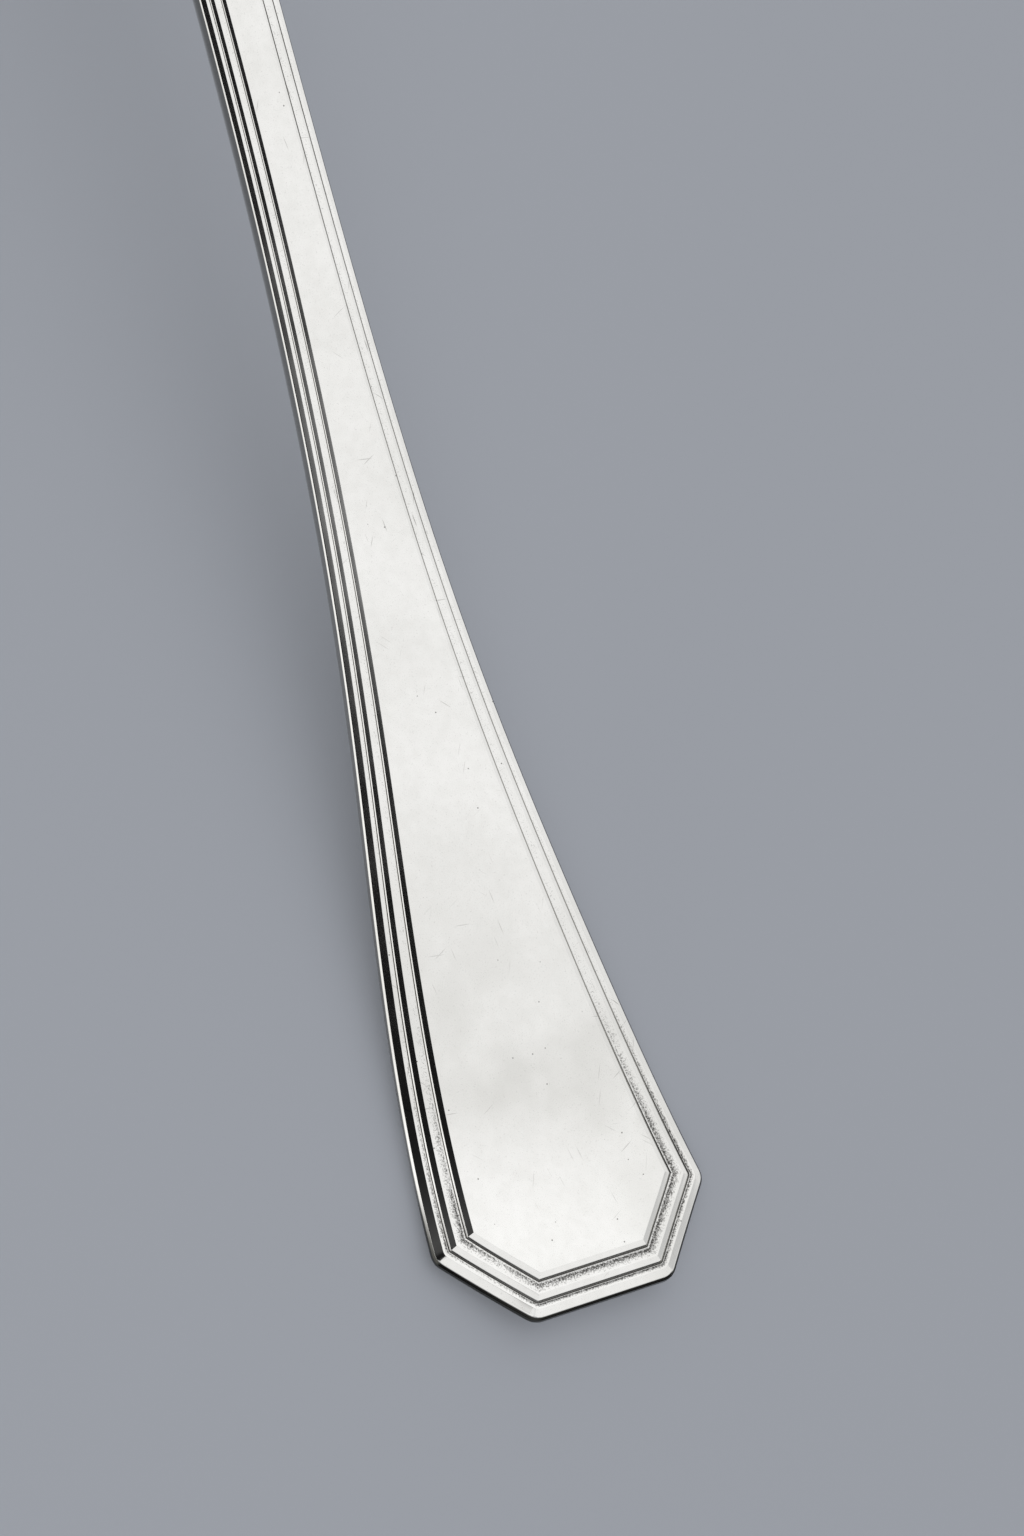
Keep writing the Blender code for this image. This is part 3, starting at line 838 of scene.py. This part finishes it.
def dashes(tree, where, cell, turn, spread, most):
    """Sparse dashes of one set, up to most: cells of a given size, turned about the spoon's height."""
    turned = node(
        tree,
        "ShaderNodeMapping",
        {"vector_type": "TEXTURE"},
        Vector=where,
        Rotation=(0.0, 0.0, math.radians(turn)),
        Scale=cell,
    )
    cells = node(tree, "ShaderNodeTexVoronoi", Vector=turned, Scale=1.0).outputs["Distance"]
    return node(tree, "ShaderNodeMapRange", Value=cells, From_Min=spread, From_Max=spread / 2, To_Max=most)


def haze_and_painted_dimming(tree, where):
    """Haze where the handle is held, which also paints the reflection there dimmer than at the end: a slanted
    band behind its end, and the thumb's place at its right.
    """
    slanted = node(tree, "ShaderNodeVectorMath", DOT, _0=where, _1=(1.0, -HAZE_SLANT, 0.0)).outputs["Value"]
    place = node(tree, "ShaderNodeSeparateXYZ", Vector=where).outputs
    band = ((slanted, HAZE_FROM), (slanted, HAZE_TO))
    thumb = ((place["X"], HAZE_FROM), (place["Y"], HAZE_RIGHT))
    rubbed = 0.0
    for haze, edges in ((1.0, band), (THUMB_SHARE, thumb)):
        for value, (start, full) in edges:
            haze = node(
                tree, "ShaderNodeMapRange", SMOOTH, Value=value, From_Min=start, From_Max=full, To_Max=haze
            )
        rubbed = node(tree, "ShaderNodeMath", {"operation": "MAXIMUM"}, _0=rubbed, _1=haze)
    return clouds(tree, where, HAZE_CLOUDS, rubbed)


def silver_plate(name, colour, roughness):
    """Silver plate over nickel silver, polished by hand: a bright, faintly warm mirror.

    The eye sees soft clouds left by polishing, a haze where it is held that also paints a dimmer reflection
    there, short hairlines and a few pits. Grime darkens the border's treads, its creases are painted black as
    grime and shade, and the side wall and the outer facet are darkened as painted dark reflection.
    """
    material = bpy.data.materials.new(name)
    material.use_nodes = True
    tree = material.node_tree
    where = tree.nodes.new("ShaderNodeTexCoord").outputs["Object"]
    # the layers hold grime, the creases' black of grime and painted shade, and painted dark reflection
    grime, line, painted_dark_reflection = [
        node(tree, "ShaderNodeAttribute", {"attribute_name": layer}).outputs["Fac"] for layer in WEAR_AND_SHADE_LAYERS
    ]

    # haze, with a painted dimmer reflection behind the end
    haze = haze_and_painted_dimming(tree, where)
    polish = clouds(tree, where, POLISH_CLOUDS, POLISH_SHARE)
    mottles = clouds(tree, where, MOTTLES, MOTTLE_SHARE)
    clouded = node(tree, "ShaderNodeMath", {"operation": "ADD"}, _0=polish, _1=mottles)
    patches = clouds(tree, where, WIPED_PATCHES, HAIRLINE_SHARE)
    scratched = 0.0
    for turn in HAIRLINE_TURNS:
        lines = dashes(tree, where, HAIRLINE_CELL, turn, HAIRLINE_SPREAD, patches)
        scratched = node(tree, "ShaderNodeMath", {"operation": "MAXIMUM"}, _0=scratched, _1=lines)
    pits = dashes(tree, where, PIT_CELL, 0.0, PIT_SPREAD, PIT_SHARE)

    film = clouds(tree, where, GRIME_FILM, grime)
    grains = clouds(tree, where, GRIME_GRAINS)
    caught = node(tree, "ShaderNodeMath", {"operation": "SUBTRACT"}, _0=film, _1=grains)
    start, full = GRIME_CAUGHT
    speckled = node(
        tree, "ShaderNodeMapRange", Value=caught, From_Min=start, From_Max=full, To_Max=GRIME_SHARE
    )
    # grime, with the creases' black, which is grime and painted shade
    grime_and_crease_shade = node(tree, "ShaderNodeMath", {"operation": "MAXIMUM"}, _0=speckled, _1=line)

    marks = (
        (haze, HAZE_AND_DIMMING_COLOUR),
        (clouded, POLISH_COLOUR),
        (scratched, HAIRLINE_COLOUR),
        (pits, PIT_COLOUR),
        # painted dark reflection on the side wall and the outer facet
        (painted_dark_reflection, PAINTED_DARK_REFLECTION_COLOUR),
        (grime_and_crease_shade, GRIME_AND_CREASE_SHADE_COLOUR),
    )
    seen = linear(colour)
    for share, stain in marks:
        mixed = node(tree, "ShaderNodeMix", {"data_type": "RGBA"}, _0=share, A=seen, B=linear(stain))
        seen = mixed.outputs["Result"]

    worn = clouds(tree, where, DULL_PATCHES, roughness * DULL_MOST, roughness)
    dulled = node(tree, "ShaderNodeMath", {"operation": "MULTIPLY_ADD"}, _0=grime_and_crease_shade, _1=GRIME_DULL, _2=worn)
    waves = node(tree, "ShaderNodeBump", Height=clouds(tree, where, POLISH_WAVES), Distance=WAVE_DEPTH)
    shader = tree.nodes["Principled BSDF"]
    shader.inputs["Metallic"].default_value = 1.0
    tree.links.new(seen, shader.inputs["Base Color"])
    tree.links.new(dulled.outputs[0], shader.inputs["Roughness"])
    tree.links.new(waves.outputs[0], shader.inputs["Normal"])
    return material


def plain_floor():
    """Matt blue-grey paper: an even, pale ground without a sheen."""
    paper = bpy.data.materials.new("matt_blue_grey_paper")
    paper.use_nodes = True
    shader = paper.node_tree.nodes["Principled BSDF"]
    shader.inputs["Base Color"].default_value = linear(FLOOR_COLOUR)
    shader.inputs["Roughness"].default_value = FLOOR_ROUGHNESS
    shape = bmesh.new()
    bmesh.ops.create_grid(shape, x_segments=1, y_segments=1, size=FLOOR_REACH)
    mesh = finished(shape, "floor")
    mesh.materials.append(paper)
    floor = bpy.data.objects.new("floor", mesh)
    bpy.context.scene.collection.objects.link(floor)


def softbox(name, place, aim, size, radiance):
    """A soft rectangular light of an even brightness, turned to its aim."""
    light = bpy.data.lights.new(name, "AREA")
    light.shape = "RECTANGLE"
    light.size, light.size_y = size
    light.energy = radiance * math.pi * size[0] * size[1]
    light.use_shadow = name not in SHADOWLESS
    made = bpy.data.objects.new(name, light)
    made.location = place
    made.rotation_euler = (Vector(aim) - Vector(place)).to_track_quat("-Z", "Y").to_euler()
    made.visible_camera = False
    made.visible_glossy = name not in UNMIRRORED
    bpy.context.scene.collection.objects.link(made)


def studio_dome():
    """A pale dome with two glows, and two unlit openings that blacken the left steps and the end's."""
    world = bpy.data.worlds.new("studio_dome")
    bpy.context.scene.world = world
    world.use_nodes = True
    tree = world.node_tree
    way = tree.nodes.new("ShaderNodeTexCoord").outputs["Generated"]
    strength = 0.0
    for aim, start, full, least, most in DOME_GLOWS:
        towards = node(tree, "ShaderNodeVectorMath", DOT, _0=way, _1=aim).outputs["Value"]
        glow = node(
            tree,
            "ShaderNodeMapRange",
            SMOOTH,
            Value=towards,
            From_Min=start,
            From_Max=full,
            To_Min=least,
            To_Max=most,
        )
        strength = node(tree, "ShaderNodeMath", {"operation": "ADD"}, _0=strength, _1=glow)
    for opening in (OPENING_LEFT, OPENING_LOW_AT_END):
        lit = 0.0
        for axis, dark_at, bright_at in opening:
            reach = node(tree, "ShaderNodeVectorMath", DOT, _0=way, _1=axis).outputs["Value"]
            edge = node(
                tree,
                "ShaderNodeMapRange",
                SMOOTH,
                Value=reach,
                From_Min=dark_at,
                From_Max=bright_at,
                To_Min=OPENING_LIGHT,
                To_Max=1.0,
            )
            lit = node(tree, "ShaderNodeMath", {"operation": "MAXIMUM"}, _0=lit, _1=edge)
        strength = node(tree, "ShaderNodeMath", {"operation": "MULTIPLY"}, _0=strength, _1=lit)
    background = tree.nodes["Background"]
    background.inputs["Color"].default_value = linear(DOME_COLOUR)
    tree.links.new(strength.outputs[0], background.inputs["Strength"])


def camera_of_photograph():
    lens = bpy.data.cameras.new("camera")
    lens.lens = CAMERA_LENS
    camera = bpy.data.objects.new("camera", lens)
    camera.location = CAMERA_AT
    camera.rotation_euler = [math.radians(turn) for turn in CAMERA_TURN]
    bpy.context.scene.collection.objects.link(camera)
    bpy.context.scene.camera = camera
    bpy.context.scene.view_settings.view_transform = "Standard"


# The handle is a mirror softened by handling, the bowl a clearer one, and the solder is yellower and duller.
silver = silver_plate("silver_plate_hand_polished", SILVER, HANDLE_ROUGHNESS)
bowl_silver = silver_plate("silver_plate_pressed_bowl", SILVER, BOWL_ROUGHNESS)
solder = silver_plate("hard_solder_plated_over", SOLDER_SILVER, SOLDER_ROUGHNESS)

stretches = side_line()
lengths = runs_of(stretches)
stem = bent_stem(stretches, lengths, silver)
joint, scarf_way = scarf_joint(stretches, lengths)
past_solder = joint + scarf_way * SOLDER
bowl_mesh = pressed_bowl(cut_off(stem, past_solder, -scarf_way), bowl_silver)
seam_mesh = cut_off(cut_off(stem, joint, -scarf_way), past_solder, scarf_way)
piece("silver_handle", cut_off(stem, joint, scarf_way), silver, "handle")
piece("silver_bowl", bowl_mesh, bowl_silver, "bowl")
piece("solder_line", seam_mesh, solder, "solder_seam")

plain_floor()
for name, place, aim, size, radiance in SOFTBOXES:
    softbox(name, place, aim, size, radiance)
studio_dome()
camera_of_photograph()
